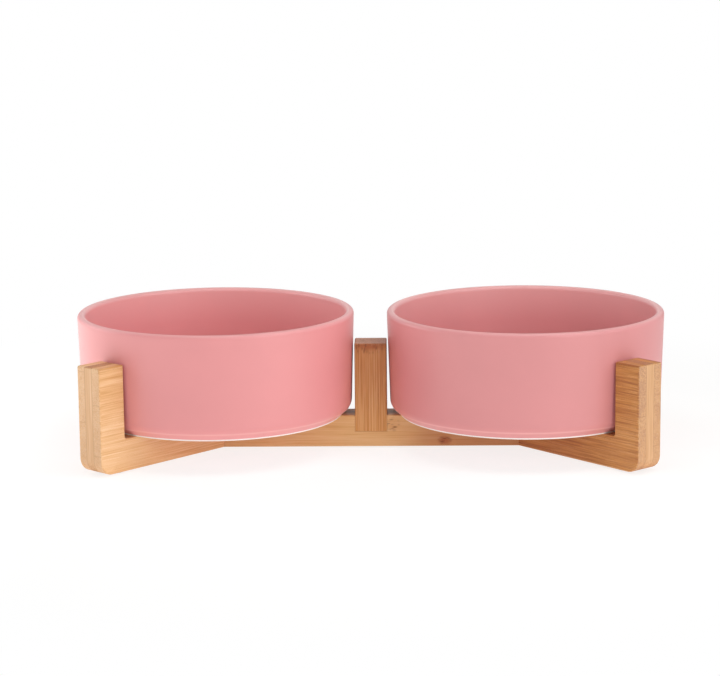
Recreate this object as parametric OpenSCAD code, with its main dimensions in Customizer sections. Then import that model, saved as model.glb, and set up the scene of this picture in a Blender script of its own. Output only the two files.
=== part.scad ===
// Two round ceramic bowls in a bamboo stand. A rail runs between the bowls and ends
// in a pair of mitred arms at each end. Each arm turns up into an upright, so a bowl
// sits on the arms and the rail and is held by two uprights and the post between the
// bowls. +X is along the rail, +Y is towards the back, and Z starts on the floor.

/* [Bowls] */
// Outer diameter of a bowl at its rim
bowl_d = 155; // [130:1:180]
// Height of a bowl, from the bottom of its foot to its rim
bowl_h = 59; // [48:1:72]
// Thickness of a bowl's wall, which is also the width of its round lip
wall_t = 4.6; // [3.6:0.1:6.4]
// Thickness of a bowl's floor
floor_t = 4.6; // [3.6:0.1:7]
// How far the outside of the wall draws in from the rim to its lower edge
wall_draft = 1.5; // [0.6:0.1:2.4]
// Radius between the wall and the floor inside
well_r = 13; // [8:0.5:18]
// Radius of the lower edge of the wall
edge_r = 6; // [4:0.5:8]
// Angle that the lower edge turns through before the band below it starts
edge_turn = 40; // [20:1:50]
// Height of the line where the lower edge meets the band that slopes in to the foot
band_h = 4.3; // [3:0.1:6]
// How far the foot ring is set in from the outside of the wall
foot_inset = 5.5; // [4.5:0.1:9]
// Height of the bare edge of the foot ring
foot_edge = 0.7; // [0.4:0.1:1.2]
// Width of the foot ring
foot_w = 4.5; // [3:0.5:7]
// Depth of the hollow inside the foot ring
foot_hollow = 1.6; // [1:0.1:2.4]

/* [Stand] */
// Thickness of the bamboo board that every part of the stand is cut from
board_t = 17.5; // [14:0.5:21]
// Height of the rail and of the arms of the legs
bar_h = 18; // [15:0.5:23]
// Height of the legs, from the underside of the arm to the top of the upright
leg_h = 59; // [48:1:66]
// Depth of an upright, measured along its arm
upright_d = 17.5; // [12:0.5:21]
// Angle between an arm and a line square to the rail
arm_angle = 42; // [34:1:48]
// Radius of the round heel of a leg
heel_r = 8; // [5:0.5:11]
// Radius in the crook of a leg, where the arm meets the upright
crook_r = 1.5; // [0.5:0.1:3]
// Radius of the two edges across the top of an upright
tip_r = 0.8; // [0.4:0.1:3]
// Width of the post between the bowls
post_w = 18; // [14:0.5:22]
// Height of the top of the post above the underside of the rail
post_h = 59; // [48:1:66]
// Depth of the notch in the rail that the post stands in
notch_d = 9.3; // [7:0.1:10.5]
// Radius of the four long edges of the post
post_r = 0.8; // [0.4:0.1:3]
// Room between a bowl and the uprights and post that hold it
bowl_gap = 0.3; // [0.2:0.1:1.5]

/* [Fixings] */
// Diameter of a dowel
dowel_d = 6; // [4:0.5:6.5]
// Length of a dowel
dowel_l = 20; // [14:1:24]
// Wood between the two dowels that meet in the rail
dowel_space = 1; // [0.5:0.1:1.8]
// Diameter of the screw that holds the post
screw_d = 4; // [3:0.5:5]
// Length of the screw
screw_l = 30; // [22:1:38]
// Diameter of the screw head
head_d = 8; // [6.5:0.5:10]
// Length of the tapered screw head
head_h = 2.2; // [1.6:0.1:3]
// Length of the screw point
point_l = 4; // [2:0.5:6]
// Width of the slots of the cross in the screw head
cross_w = 1; // [0.6:0.1:1.4]
// Depth of the cross in the screw head
cross_h = 1.4; // [0.8:0.1:1.5]
// Diameter of a non-slip pad
pad_d = 12; // [9:0.5:13.5]
// Thickness of a non-slip pad
pad_t = 1; // [0.6:0.1:2]
// Distance from a pad to where the round heel starts
pad_inset = 2; // [1:0.5:5]

/* [Hidden] */
$fn = 96;

// Room round a dowel or screw in its hole, filled by glue or by thread
fit_gap = 0.05;
// How far a cutting shape runs past the face that it cuts
overrun = 1;
// Side of the stand: left or right, and front or rear
left = -1;
right = 1;
front = -1;
rear = 1;

rim_r = bowl_d / 2;
// Distance of each bowl's axis from the middle of the stand
bowl_x = post_w / 2 + bowl_gap + rim_r;
// Level of the undersides of the rail and legs, and of the tops that the bowls rest on
wood_z = pad_t;
seat_z = wood_z + bar_h;
// Length of an arm from the bowl's axis to the outer face of its upright
arm_l = rim_r + bowl_gap + upright_d;
// How far along an arm each of its two mitres reaches, at the sides of the board
rail_mitre = board_t / 2 / tan(45 + arm_angle / 2);
pair_mitre = board_t / 2 / tan(90 - arm_angle);
// Height of the front dowels below, and of the rear dowels above, the middle of the rail
dowel_rise = (dowel_d + dowel_space) / 2;
// Distance of a pad's centre along its arm
pad_x = arm_l - heel_r - pad_inset - pad_d / 2;
// Reach of the cross in the screw head, from the screw's axis
cross_r = head_d / 2 - cross_h;

pink = "#e39a9c";
bamboo = "#dca36d";
bare_bamboo = "#e8c79a";
steel = "#b9bcc0";
clear_rubber = "#d9dcdc";

// Puts its children where a leg stands: +X along the arm, +Y towards the rail
module at_leg(side, end) {
    translate([side * bowl_x, 0, wood_z])
        mirror([side == left ? 1 : 0, 0, 0])
            mirror([0, end == front ? 1 : 0, 0])
                rotate([0, 0, 90 - arm_angle])
                    children();
}

// What is cut from a square corner at the origin to leave it round
module corner_waste(r) {
    difference() {
        translate([-overrun, -overrun]) square(r + overrun);
        translate([r, r]) circle(r);
    }
}

// What fills an inside corner at the origin to make it round
module corner_fill(r) {
    difference() {
        square(r);
        translate([r, r]) circle(r);
    }
}

// The band between two circles, out to the tangent line on their right
module tangent_band(low, low_r, high, high_r) {
    run = high - low;
    tilt = atan2(run[1], run[0]) - acos((low_r - high_r) / norm(run));
    out = [cos(tilt), sin(tilt)];
    polygon([low, low + low_r * out, high + high_r * out, high]);
}

// Half section of a bowl as it would be if it were solid, down to its foot ring
module bowl_outside() {
    wall_r = rim_r - wall_draft;
    foot_r = wall_r - foot_inset;
    edge = [wall_r - edge_r, band_h + edge_r * sin(edge_turn)];
    band_top = edge + edge_r * [cos(edge_turn), -sin(edge_turn)];
    lip = [rim_r - wall_t / 2, bowl_h - wall_t / 2];
    translate(edge) circle(edge_r);
    translate(lip) circle(wall_t / 2);
    tangent_band(edge, edge_r, lip, wall_t / 2);
    polygon([
        [0, foot_hollow],
        [foot_r - foot_w, foot_hollow],
        [foot_r - foot_w, 0],
        [foot_r, 0],
        [foot_r, foot_edge],
        band_top,
        edge,
        lip,
        [0, lip[1]]
    ]);
}

// Half section of the space inside a bowl, and of the air above the middle of its lip
module bowl_inside() {
    well_z = foot_hollow + floor_t;
    well = [rim_r - wall_draft - wall_t - well_r, well_z + well_r];
    mouth = [rim_r - wall_t, bowl_h - wall_t / 2];
    translate(well) circle(well_r);
    tangent_band(well, well_r, mouth, 0);
    polygon([
        [0, well_z],
        [well[0], well_z],
        well,
        mouth,
        mouth + [0, wall_t],
        [0, bowl_h + wall_t]
    ]);
}

module bowl(side) {
    color(pink)
        translate([side * bowl_x, 0, seat_z])
            rotate_extrude()
                difference() {
                    bowl_outside();
                    bowl_inside();
                }
}

// Side view of a leg, from the bowl's axis out along the arm
module leg_side() {
    upright_x = arm_l - upright_d;
    difference() {
        union() {
            square([arm_l, bar_h]);
            translate([upright_x, 0]) square([upright_d, leg_h]);
            translate([upright_x, bar_h]) rotate(90) corner_fill(crook_r);
        }
        translate([arm_l, 0]) rotate(90) corner_waste(heel_r);
        translate([arm_l, leg_h]) rotate(180) corner_waste(tip_r);
        translate([upright_x, leg_h]) rotate(270) corner_waste(tip_r);
    }
}

// Top view of a leg, pointed where it meets the rail and the other leg
module leg_plan() {
    polygon([
        [0, 0],
        [rail_mitre, board_t / 2],
        [arm_l + overrun, board_t / 2],
        [arm_l + overrun, -board_t / 2],
        [pair_mitre, -board_t / 2]
    ]);
}

// A dowel or its hole, square to the mitre between a leg and the rail
module across_mitre(end, r, length) {
    translate([rail_mitre / 2, board_t / 4, bar_h / 2 + end * dowel_rise])
        rotate([0, 0, -atan2(rail_mitre, board_t / 2)])
            rotate([0, 90, 0])
                cylinder(r = r, h = length, center = true);
}

module dowel_hole(end) {
    across_mitre(end, dowel_d / 2 + fit_gap, dowel_l + 2 * fit_gap);
}

module leg(side, end) {
    color(bamboo)
        at_leg(side, end)
            difference() {
                intersection() {
                    rotate([90, 0, 0])
                        linear_extrude(board_t + 2 * overrun, center = true) leg_side();
                    translate([0, 0, -overrun])
                        linear_extrude(leg_h + 2 * overrun) leg_plan();
                }
                dowel_hole(end);
            }
}

module dowel(side, end) {
    color(bare_bamboo) at_leg(side, end) across_mitre(end, dowel_d / 2, dowel_l);
}

module pad(side, end) {
    color(clear_rubber)
        at_leg(side, end)
            translate([pad_x, 0, -pad_t]) cylinder(d = pad_d, h = pad_t);
}

// Top view of the rail, which comes to a blunt point at each end between its two legs
module rail_plan() {
    shoulder_x = bowl_x - rail_mitre;
    polygon([
        [-bowl_x, 0],
        [-shoulder_x, -board_t / 2],
        [shoulder_x, -board_t / 2],
        [bowl_x, 0],
        [shoulder_x, board_t / 2],
        [-shoulder_x, board_t / 2]
    ]);
}

module rail() {
    color(bamboo)
        difference() {
            translate([0, 0, wood_z]) linear_extrude(bar_h) rail_plan();
            translate([-post_w / 2, -board_t / 2 - overrun, seat_z - notch_d])
                cube([post_w, board_t + 2 * overrun, notch_d + overrun]);
            for (side = [left, right], end = [front, rear]) at_leg(side, end) dowel_hole(end);
            screw_shape(fit_gap);
        }
}

module post_plan() {
    difference() {
        square([post_w, board_t], center = true);
        for (turn = [0, 180])
            rotate(turn) {
                translate([-post_w / 2, -board_t / 2]) corner_waste(post_r);
                translate([post_w / 2, -board_t / 2]) rotate(90) corner_waste(post_r);
            }
    }
}

module centre_post() {
    notch_z = seat_z - notch_d;
    color(bamboo)
        difference() {
            translate([0, 0, notch_z]) linear_extrude(wood_z + post_h - notch_z) post_plan();
            screw_shape(fit_gap);
        }
}

// The screw's outline, or with a gap added on every side the outline of its hole
module screw_shape(gap) {
    shank_r = screw_d / 2 + gap;
    translate([0, 0, wood_z]) {
        cylinder(r1 = head_d / 2 + gap, r2 = shank_r, h = head_h);
        cylinder(r = shank_r, h = screw_l - point_l);
        translate([0, 0, screw_l - point_l])
            cylinder(r1 = shank_r, r2 = gap, h = point_l + gap);
    }
}

module post_screw() {
    color(steel)
        difference() {
            screw_shape(0);
            for (turn = [0, 90])
                rotate(turn)
                    translate([-cross_r, -cross_w / 2, wood_z - overrun])
                        cube([2 * cross_r, cross_w, cross_h + overrun]);
        }
}

bowl(left);  // left_bowl
bowl(right);  // right_bowl
rail();
centre_post();
leg(left, front);  // front_left_leg
leg(left, rear);  // rear_left_leg
leg(right, front);  // front_right_leg
leg(right, rear);  // rear_right_leg
dowel(left, front);  // front_left_dowel
dowel(left, rear);  // rear_left_dowel
dowel(right, front);  // front_right_dowel
dowel(right, rear);  // rear_right_dowel
post_screw();
pad(left, front);  // front_left_pad
pad(left, rear);  // rear_left_pad
pad(right, front);  // front_right_pad
pad(right, rear);  // rear_right_pad
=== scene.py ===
"""Looks of a double pet bowl: two glazed stoneware bowls in a stand of laminated bamboo."""

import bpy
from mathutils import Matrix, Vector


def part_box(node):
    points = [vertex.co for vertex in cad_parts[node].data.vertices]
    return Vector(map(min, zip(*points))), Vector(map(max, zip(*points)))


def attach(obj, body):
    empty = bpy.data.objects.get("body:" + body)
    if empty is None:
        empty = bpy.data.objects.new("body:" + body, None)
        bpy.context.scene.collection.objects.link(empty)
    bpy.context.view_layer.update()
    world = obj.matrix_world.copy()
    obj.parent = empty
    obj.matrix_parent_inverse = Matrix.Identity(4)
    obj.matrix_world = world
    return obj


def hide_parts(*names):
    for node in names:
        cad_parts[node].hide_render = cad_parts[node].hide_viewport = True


bl_info = {
    "name": "Double Pet Bowl",
    "version": (1, 0, 0),
    "blender": (4, 5, 0),
    "location": "View3D > Sidebar > Pet Bowl",
    "description": "Makes the bowls, the bamboo stand, its fixings and a pale studio round them",
    "category": "Add Mesh",
}

from dataclasses import dataclass
from math import atan2, cos, pi, radians, sin, tan

import bmesh
import bpy
import numpy as np
from bpy.props import FloatProperty, FloatVectorProperty, PointerProperty
from mathutils import Matrix, Vector

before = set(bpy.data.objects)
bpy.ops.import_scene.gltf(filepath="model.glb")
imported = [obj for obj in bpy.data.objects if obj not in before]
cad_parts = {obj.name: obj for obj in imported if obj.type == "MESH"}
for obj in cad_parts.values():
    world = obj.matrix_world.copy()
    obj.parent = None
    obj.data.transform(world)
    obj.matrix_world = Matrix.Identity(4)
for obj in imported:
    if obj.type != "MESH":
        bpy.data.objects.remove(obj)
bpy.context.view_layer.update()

MM = 0.001
LEFT, RIGHT = -1, 1
FRONT, REAR = -1, 1
SIDES = {"left": LEFT, "right": RIGHT}
CORNERS = {
    "front_left": (LEFT, FRONT),
    "front_right": (RIGHT, FRONT),
    "rear_left": (LEFT, REAR),
    "rear_right": (RIGHT, REAR),
}

# Sizes that the frame gives, in metres
bowl_low, bowl_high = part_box("right_bowl")
rail_low, rail_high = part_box("rail")
post_low, post_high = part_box("centre_post")
leg_low, leg_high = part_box("front_right_leg")
pad_low, pad_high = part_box("front_right_pad")
screw_low, screw_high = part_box("post_screw")
RIM_R = (bowl_high.x - bowl_low.x) / 2
BOWL_X = (bowl_high.x + bowl_low.x) / 2
BOWL_H = bowl_high.z - bowl_low.z
SEAT_Z = bowl_low.z
WOOD_Z = rail_low.z
BOARD_T = rail_high.y - rail_low.y
BAR_H = rail_high.z - rail_low.z
LEG_H = leg_high.z - leg_low.z
POST_W = post_high.x - post_low.x
POST_H = post_high.z - WOOD_Z
NOTCH_Z = post_low.z - WOOD_Z
BOWL_GAP = BOWL_X - RIM_R - POST_W / 2
HEAD_R = (screw_high.x - screw_low.x) / 2

# Fineness of the meshes: points round a turned piece, along an eased edge or a round tip, and on each of
# the eight sides of the screw hole. The last number of a stroke or an arc is its count of points.
BOWL_AROUND = 288
PAD_AROUND = 72
EASED_POINTS = 5
TIP_POINTS = 6
HOLE_PER_SIDE = 6
# How far the extra point beside a round corner stands in on the flat, how near two points count as one,
# and the angle between two faces from which their edge is sharp
SUPPORT = 0.35 * MM
SAME_POINT = 1e-7
SHARP = radians(34)


def linear(code):
    """An sRGB hex colour as Blender's linear colour with full alpha."""
    srgb = np.array([int(code[i:i + 2], 16) for i in (0, 2, 4)]) / 255
    rgb = np.where(srgb <= 0.04045, srgb / 12.92, ((srgb + 0.055) / 1.055) ** 2.4)
    return (*rgb.tolist(), 1.0)


def size(name, description, mm):
    """A length that a user would change, given here in millimetres."""
    return FloatProperty(name=name, description=description, default=mm * MM, unit="LENGTH", precision=5)


def angle(name, description, degrees):
    """An angle that a user would change, given here in degrees."""
    return FloatProperty(name=name, description=description, default=radians(degrees), subtype="ANGLE")


def amount(name, description, value):
    """A share or a level that a user would change."""
    return FloatProperty(name=name, description=description, default=value)


def colour(name, description, code):
    """A colour that a user would change, given here as sRGB hex."""
    shade = linear(code)
    return FloatVectorProperty(name=name, description=description, default=shade, size=4, subtype="COLOR")


class BowlLook(bpy.types.PropertyGroup):
    """Sizes and colours of the two bowls"""
    wall_t: size("Wall", "Thickness of the wall, and width of the round lip", 4.6)
    floor_t: size("Floor", "Thickness of the floor", 4.6)
    wall_draft: size("Draft", "How far the wall draws in from the rim to its lower edge", 1.5)
    well_r: size("Well radius", "Radius between the wall and the floor inside", 13)
    edge_r: size("Edge radius", "Radius of the lower edge of the wall", 6)
    edge_turn: angle("Edge turn", "Angle that the lower edge turns through before the band below it", 40)
    band_h: size("Band height", "Height of the line where the lower edge meets the band", 4.3)
    foot_inset: size("Foot inset", "How far the foot ring is set in from the wall", 5.5)
    foot_edge: size("Foot edge", "Height of the bare edge of the foot ring", 0.7)
    foot_w: size("Foot width", "Width of the foot ring", 4.5)
    foot_hollow: size("Hollow", "Depth of the hollow inside the foot ring", 1.6)
    foot_corner: size("Foot corner", "Radius of the corners of the foot ring", 0.35)
    bead: size("Bead", "Height of the fine bead of glaze on the line above the band", 0.12)
    drift: size("Drift", "How far drying and firing draw the rim out of round", 0.12)
    glaze: colour("Glaze", "Colour of the glaze", "E9999A")
    deep_glaze_and_shade: colour("Deep glaze", "Colour of the glaze where it lies thickest", "D08B8C")
    # This pale colour stands for thin glaze, and also for a painted highlight on the crease line and the lip,
    # painted light on the band and a painted sheen inside.
    thin_glaze_and_highlight: colour("Thin glaze", "Colour of the glaze where it breaks over an edge", "F3BBB9")
    stoneware: colour("Stoneware", "Colour of the bare foot", "F8F4F0")
    # The right bowl's larger depth draws it deeper in colour all over: painted shade.
    left_depth: amount("Left depth", "How thick the left bowl's glaze lies", 0.05)
    right_depth_and_shade: amount("Right depth", "How thick the right bowl's glaze lies", 0.45)
    # Depth below the lip over which the painted sheen inside fades out.
    fade: size("Fade", "Depth inside, below the lip, down to which the glaze has run thin", 20)


class StandLook(bpy.types.PropertyGroup):
    """Sizes and colours of the bamboo stand"""
    arm_angle: angle("Arm angle", "Angle between an arm and a line square to the rail", 42)
    heel_r: size("Heel radius", "Radius of the round heel of a leg", 8)
    crook_r: size("Crook radius", "Radius where the arm meets the upright", 1.5)
    tip_r: size("Tip radius", "Radius of the edges across the tops of uprights and post", 0.8)
    ease: size("Eased edge", "Radius that sanding leaves on the long edges", 0.6)
    seam: size("Seam", "Half the width of a glued joint", 0.05)
    pale: colour("Pale bamboo", "Colour of the palest fibres", "F6D1A6")
    honey: colour("Honey bamboo", "Colour of most of the wood", "E7B883")
    brown: colour("Brown bamboo", "Colour of the brown fibres", "C98B47")
    dark: colour("Dark bamboo", "Colour of the darkest fibres", "A8693A")
    golden: colour("Golden bamboo", "Colour that some boards lean towards", "C79A54")
    joint: colour("Joint", "Colour of the wood round a joint of the cane", "A3552A")
    knot: colour("Knot", "Colour of the specks in a joint of the cane", "7E4820")
    glue: colour("Glue line", "Colour of the line between two plies", "9C6236")
    cut: colour("Cut fibres", "Colour of the specks where the fibres end in the surface", "D6AF8E")


class FixingLook(bpy.types.PropertyGroup):
    """Sizes and colours of the dowels, the screw and the pads"""
    pad_edge: size("Pad edge", "Radius of the lower edge of a pad", 0.4)
    hole_gap: size("Hole gap", "Room between the screw head and its hole", 0.12)
    hole_patch: size("Hole patch", "Half the side of the square that the screw hole is set in", 7)
    beech: colour("Beech", "Colour of the dowels", "E3C096")
    beech_ray: colour("Beech rays", "Colour of the flecks in the dowels", "BE8F5F")
    zinc: colour("Zinc", "Colour of the screw", "C6C9CC")
    rubber: colour("Rubber", "Colour of the pads", "DDE0E0")


class StudioLook(bpy.types.PropertyGroup):
    """Colours and levels of the studio"""
    floor: colour("Floor", "Colour of the floor", "F4F3F1")
    floor_side: size("Floor side", "Side of the square floor", 4000)
    sky: amount("Sky", "Level of the even light from above", 0.05)
    walls: amount("Walls", "Level of the light from the foot of the walls", 0.45)
    screens: amount("Screens", "Level of the ring of bright screens on the walls", 1.05)
    table: amount("Table", "Level of the light that the floor gives of itself", 0.35)
    table_left: amount("Table left", "Level of the same, to the left of the object", 1.3)
    floor_glow: amount("Floor glow", "Share of plain white in what the camera sees of the near floor", 0.7)


# Shapes

def arc(centre, radius, start, end, count):
    """Points on a circle: the centre plus the radius times the cosine and sine of angles in degrees."""
    turn = np.radians(np.linspace(start, end, count))
    return np.asarray(centre) + radius * np.column_stack([np.cos(turn), np.sin(turn)])


def stroke(start, end, count):
    """Evenly spaced points from start to end."""
    return np.linspace(start, end, count)


def joined(*strokes):
    """Strokes end to end, without the points that repeat."""
    points = np.vstack(strokes)
    step = np.linalg.norm(np.diff(points, axis=0), axis=1)
    return points[np.append(True, step > SAME_POINT)]


def tangent(low, low_r, high, high_r):
    """Angle in degrees of the outward normal of the line that touches both circles on their right."""
    run = np.subtract(high, low)
    return np.degrees(np.arctan2(run[1], run[0]) - np.arccos((low_r - high_r) / np.linalg.norm(run)))


def lathe(profile, around):
    """Profile points (radius, height) turned round Z. Point i at angle j is radius times the cosine
    and sine of j full turns over around; the first and last points lie on the axis and stay single."""
    turn = 2 * pi * np.arange(around) / around
    ring = profile[1:-1]
    x = ring[:, :1] * np.cos(turn)
    y = ring[:, :1] * np.sin(turn)
    z = np.broadcast_to(ring[:, 1:], x.shape)
    rings = np.stack([x, y, z], axis=-1).reshape(-1, 3)
    poles = [[0, 0, profile[0, 1]], [0, 0, profile[-1, 1]]]
    return np.vstack([rings, poles])


def lathe_faces(rows, around):
    """Quads between the rings of a lathe, and a fan of triangles round each pole."""
    j = np.arange(around)
    k = (j + 1) % around
    i = around * np.arange(rows - 1)[:, None]
    quads = np.stack([i + j, i + k, i + around + k, i + around + j], axis=-1).reshape(-1, 4)
    first = rows * around
    last = first - around
    start = np.stack([np.full(around, first), k, j], axis=-1)
    end = np.stack([np.full(around, first + 1), last + j, last + k], axis=-1)
    return quads.tolist() + start.tolist() + end.tolist()


def inward(outline):
    """Moves that draw a closed outline in by one unit: the sum of the normals of the two sides that
    meet at a point, over one plus their dot product."""
    side = np.roll(outline, -1, axis=0) - outline
    side /= np.linalg.norm(side, axis=1, keepdims=True)
    after = np.column_stack([-side[:, 1], side[:, 0]])
    before = np.roll(after, 1, axis=0)
    return (before + after) / (1 + (before * after).sum(axis=1, keepdims=True))


def slices(thickness, radius, stops=()):
    """Places across a board, and how far its outline is drawn in at each. An eased edge is a quarter
    circle: the place moves on by one less the cosine, and the outline is drawn in by one less the sine."""
    turn = np.radians(np.linspace(0, 90, EASED_POINTS))
    edge = np.column_stack([radius * (1 - np.cos(turn)), radius * (1 - np.sin(turn))])
    near = np.vstack([[0, radius + SUPPORT], edge, [radius + SUPPORT, 0]]) - [thickness / 2, 0]
    middle = np.array([[y, 0.0] for y in stops]).reshape(-1, 2)
    return np.vstack([near, middle, near[::-1] * [-1, 1]])


def board(outline, across, softness, ends, mitre, seam):
    """A board: its side outline (along, up) repeated at every slice across it. A point is drawn in by
    its own inward move times its softness times the slice's easing, and a point at a mitred end is
    also shifted along by the mitre's reach at that slice and by the seam."""
    move = inward(outline)
    move[:, 0] = np.where(ends == 0, move[:, 0], 0)
    y = across[:, :1]
    drawn = softness * across[:, 1:]
    x = outline[:, 0] + move[:, 0] * drawn + ends * (mitre(y) + seam)
    z = outline[:, 1] + move[:, 1] * drawn
    return np.stack([x, np.broadcast_to(y, x.shape), z], axis=-1).reshape(-1, 3)


def board_faces(around, rows):
    """Quads round the edge of a board from slice to slice, and one face on each side."""
    i = np.arange(around)
    k = (i + 1) % around
    j = around * np.arange(rows - 1)[:, None]
    quads = np.stack([j + i, j + k, j + around + k, j + around + i], axis=-1).reshape(-1, 4)
    near = list(range(around))
    far = list(range((rows - 1) * around, rows * around))
    return quads.tolist() + [near[::-1], far]


def supported(start, end):
    """A straight stretch of outline with a point a little way in from each end, so that the shading
    of a round corner doesn't run over the flat beside it."""
    start, end = np.array(start, float), np.array(end, float)
    step = SUPPORT * (end - start) / np.linalg.norm(end - start)
    return np.vstack([start, start + step, end - step, end])


def piece(name, points, faces, material, body, slot, *nodes):
    """Makes a closed mesh with its normals outwards, and hands it to the frame."""
    mesh = bpy.data.meshes.new(name)
    mesh.from_pydata(points.tolist(), [], faces)
    shell = bmesh.new()
    shell.from_mesh(mesh)
    bmesh.ops.recalc_face_normals(shell, faces=shell.faces)
    shell.to_mesh(mesh)
    shell.free()
    mesh.shade_smooth()
    mesh.set_sharp_from_angle(angle=SHARP)
    mesh.materials.append(material)
    made = bpy.data.objects.new(name, mesh)
    bpy.context.scene.collection.objects.link(made)
    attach(made, body)
    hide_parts(*nodes)
    return made


def store(made, name, values):
    """Stores one number for each point of a piece under a name that its material reads."""
    attribute = made.data.attributes.new(name, "FLOAT", "POINT")
    attribute.data.foreach_set("value", values.astype(np.float32))


# Bowls

# How much of the pale glaze colour is laid on, up to one: on the line above the band and on the crown of the
# lip, thin glaze and a painted highlight; on the band, painted light from below; and on the inside just below
# the lip, a painted sheen
LINE_THIN_AND_HIGHLIGHT = 0.6
CROWN_THIN_AND_HIGHLIGHT = 0.5
BAND_PAINTED_LIGHT = 0.1
INSIDE_PAINTED_SHEEN = 0.4
# How far the bead and the thin line reach to either side, and how far up the bead the clay is bare, in
# heights of the bead
BEAD_REACH = 3
LINE_REACH = 5
BARE_REACH = 0.8
# How far down the crown of the lip reaches, in radii of the lip
CROWN_REACH = 0.3
# Shares of the drift that the three lobes and the dips of the rim have, and the power of the height that
# keeps the dips near the rim
LOBED_SHARE = 0.5
DIP_SHARE = 0.8
DIP_POWER = 6


def bowl_profile(look):
    """Half section of a bowl (radius, height) from the middle of its underside out, up the outside, over the
    lip and down to the middle of its floor, with how bare it is there and how much pale glaze colour it gets.
    That colour is thin glaze with a painted highlight on the crease line and the crown of the lip, painted
    light from below on the band, and a painted sheen inside just below the lip. The bead, the pale line and
    the crown are bell curves: e to the minus square of the distance over the reach."""
    wall_r = RIM_R - look.wall_draft
    foot_r = wall_r - look.foot_inset
    inner_r = foot_r - look.foot_w
    corner = look.foot_corner
    turn = np.degrees(look.edge_turn)
    edge = (wall_r - look.edge_r, look.band_h + look.edge_r * sin(look.edge_turn))
    lip_r = look.wall_t / 2
    lip = (RIM_R - lip_r, BOWL_H - lip_r)
    out = tangent(edge, look.edge_r, lip, lip_r)
    floor_z = look.foot_hollow + look.floor_t
    well = (wall_r - look.wall_t - look.well_r, floor_z + look.well_r)
    mouth = (RIM_R - look.wall_t, BOWL_H - lip_r)
    down = tangent(well, look.well_r, mouth, 0)
    wall_foot = arc(edge, look.edge_r, out, out, 1)[0]
    wall_top = arc(lip, lip_r, out, out, 1)[0]
    band_top = arc(edge, look.edge_r, -turn, -turn, 1)[0]
    band_foot = (foot_r + look.bead, look.foot_edge)
    well_top = arc(well, look.well_r, down, down, 1)[0]
    fillet = 2 * corner
    underside = joined(
        stroke((0, look.foot_hollow), (inner_r - fillet, look.foot_hollow), 14),
        arc((inner_r - fillet, look.foot_hollow - fillet), fillet, 90, 0, 6),
    )
    foot = joined(
        arc((inner_r + corner, corner), corner, 180, 270, 6),
        stroke((inner_r + corner, 0), (foot_r - corner, 0), 6),
        arc((foot_r - corner, corner), corner, 270, 360, 6),
    )
    outside = joined(
        arc((foot_r, look.foot_edge + look.bead), look.bead, -90, 0, 4),
        stroke(band_foot + np.array([0, look.bead]), band_top, 10),
        arc(edge, look.edge_r, -turn, out, 14),
        stroke(wall_foot, wall_top, 30),
        arc(lip, lip_r, out, 180, 26),
        stroke(mouth, well_top, 22),
        arc(well, look.well_r, down, -90, 20),
        stroke((well[0], floor_z), (0, floor_z), 18),
    )
    profile = np.vstack([underside, foot, outside])
    bare = np.concatenate([np.zeros(len(underside)), np.ones(len(foot)), np.zeros(len(outside))])
    reach = np.linalg.norm(profile - band_top, axis=1)
    profile[:, 0] += look.bead * np.exp(-(reach / (BEAD_REACH * look.bead)) ** 2)
    line = np.exp(-(reach / (LINE_REACH * look.bead)) ** 2)
    crown = np.exp(-((profile[:, 1] - BOWL_H) / (CROWN_REACH * lip_r)) ** 2)
    # The band is drawn paler: painted light from below.
    band = (profile[:, 1] < look.band_h) * (profile[:, 0] > foot_r)
    inside = (np.arange(len(profile)) > np.argmax(profile[:, 1])) * (profile[:, 0] > well[0])
    # Painted sheen: the inside is paler just below the lip and fades out downwards.
    run = inside * np.clip((profile[:, 1] - BOWL_H + look.fade) / look.fade, 0, 1)
    thin_and_painted_light = LINE_THIN_AND_HIGHLIGHT * line + CROWN_THIN_AND_HIGHLIGHT * crown + BAND_PAINTED_LIGHT * band + INSIDE_PAINTED_SHEEN * run
    bare[(profile[:, 1] < look.foot_edge + BARE_REACH * look.bead) * (profile[:, 0] > inner_r)] = 1
    return profile, bare, np.clip(thin_and_painted_light, 0, 1)


def drifted(points, drift, start):
    """Draws a turned bowl a little out of round, as drying and firing do. The radius shrinks by the
    drift times a wave of two lobes and a smaller one of three, in step with the height, and the rim
    dips by a wave of its own. The waves of the radius are nought at the start angle, and all of it is
    inwards or downwards. Within half the rim's radius every point shrinks by the same share."""
    turn = np.arctan2(points[:, 1], points[:, 0]) - start
    rise = np.clip(points[:, 2] / BOWL_H, 0, 1)
    oval = (1 - np.cos(2 * turn)) / 2
    lobed = (1 - np.cos(3 * turn)) / 2
    dip = (1 - np.cos(2 * turn + 1)) / 2
    radius = np.hypot(points[:, 0], points[:, 1])
    shrink = 1 - drift * rise * (oval + LOBED_SHARE * lobed) / np.maximum(radius, RIM_R / 2)
    moved = points.copy()
    moved[:, :2] *= shrink[:, None]
    moved[:, 2] -= DIP_SHARE * drift * dip * rise ** DIP_POWER
    return moved


def make_bowls(look):
    """Turns the two bowls and sets each on its seat."""
    # The right bowl's deeper glaze colour is painted shade.
    depths_and_shade = {"left": look.left_depth, "right": look.right_depth_and_shade}
    profile, bare, thin_and_painted_light = bowl_profile(look)
    points = lathe(profile, BOWL_AROUND)
    faces = lathe_faces(len(profile) - 2, BOWL_AROUND)
    for name, side in SIDES.items():
        place = np.array([side * BOWL_X, 0, SEAT_Z])
        towards_post = 0 if side == LEFT else pi
        shape = drifted(points, look.drift, towards_post) + place
        node = name + "_bowl"
        material = satin_glaze(name, look, depths_and_shade[name])
        made = piece(name + "_stoneware_bowl", shape, faces, material, node, "glazed_bowl", node)
        for title, values in (("bare", bare), ("thin_and_painted_light", thin_and_painted_light)):
            ringed = np.repeat(values[1:-1], BOWL_AROUND)
            store(made, title, np.concatenate([ringed, values[[0, -1]]]))


# Bamboo stand

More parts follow.
